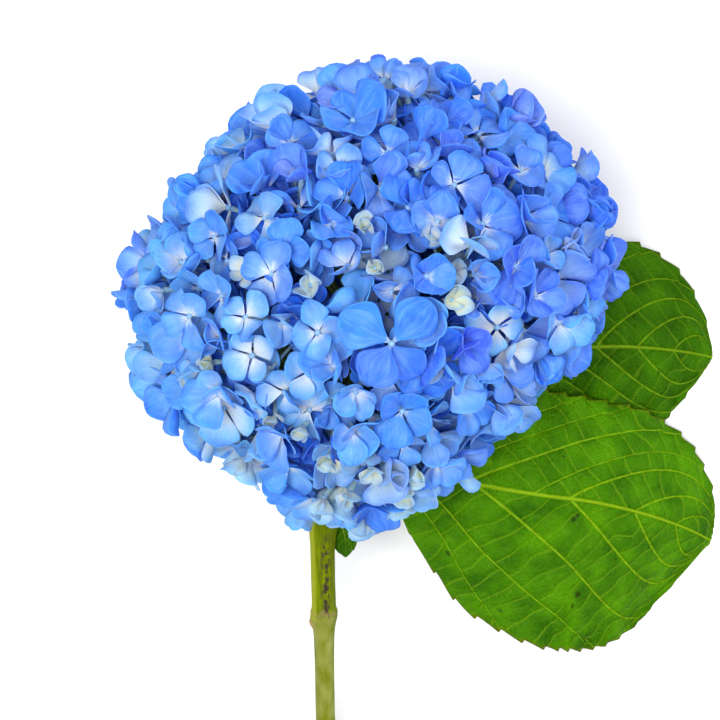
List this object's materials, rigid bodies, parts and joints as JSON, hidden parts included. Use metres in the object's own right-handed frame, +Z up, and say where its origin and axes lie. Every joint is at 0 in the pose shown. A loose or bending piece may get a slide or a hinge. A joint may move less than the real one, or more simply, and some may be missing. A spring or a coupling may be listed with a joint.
{
  "type": "cut hydrangea",
  "caption": "Cut mophead hydrangea lying on its side: a ball of blue four-sepalled florets on forked rays, a stem cut at a slant and three leaves.",
  "frame": {"origin": "middle of the outer box in plan, on the surface that the flower lies on", "axes": "+Y runs from the cut stem end towards the crown of the head, +Z is up from the surface, +X is towards the large leaves"},
  "size_m": [0.2162, 0.29, 0.1476],
  "materials": {
    "sepals": "soft satin petal, sky blue to violet blue with pale bases and fine radial veins",
    "ray": "pale green, smooth and matt",
    "stem": "yellow-green to olive, ribbed, satin, with brown lenticels",
    "leaf": "bright green, quilted between sunken veins, satin"
  },
  "bodies": {
    "root": {"stem": "stem", "leaf_large": "leaf", "leaf_rear": "leaf", "leaf_small": "leaf", "ray_1": "ray", "ray_2": "ray", "ray_3": "ray", "ray_4": "ray", "ray_5": "ray", "ray_6": "ray", "ray_7": "ray", "floret_cluster_01": "sepals", "floret_cluster_02": "sepals", "floret_cluster_03": "sepals", "floret_cluster_04": "sepals", "floret_cluster_05": "sepals", "floret_cluster_06": "sepals", "floret_cluster_07": "sepals", "floret_cluster_08": "sepals", "floret_cluster_09": "sepals", "floret_cluster_10": "sepals", "floret_cluster_11": "sepals", "floret_cluster_12": "sepals", "floret_cluster_13": "sepals", "floret_cluster_14": "sepals", "floret_cluster_15": "sepals", "floret_cluster_16": "sepals", "floret_cluster_17": "sepals", "floret_cluster_18": "sepals", "floret_cluster_19": "sepals", "floret_cluster_20": "sepals", "floret_cluster_21": "sepals", "floret_cluster_22": "sepals", "floret_cluster_23": "sepals", "floret_cluster_24": "sepals", "floret_cluster_25": "sepals", "floret_cluster_26": "sepals", "floret_cluster_27": "sepals", "floret_cluster_28": "sepals", "floret_cluster_29": "sepals", "floret_cluster_30": "sepals", "floret_cluster_31": "sepals", "floret_cluster_32": "sepals", "floret_cluster_33": "sepals", "floret_cluster_34": "sepals", "floret_cluster_35": "sepals", "floret_cluster_36": "sepals", "floret_cluster_37": "sepals", "floret_cluster_38": "sepals", "floret_cluster_39": "sepals", "floret_cluster_40": "sepals", "floret_cluster_41": "sepals", "floret_cluster_42": "sepals", "floret_cluster_43": "sepals", "floret_cluster_44": "sepals", "floret_cluster_45": "sepals", "floret_cluster_46": "sepals", "floret_cluster_47": "sepals", "floret_cluster_48": "sepals"}
  },
  "joints": []
}
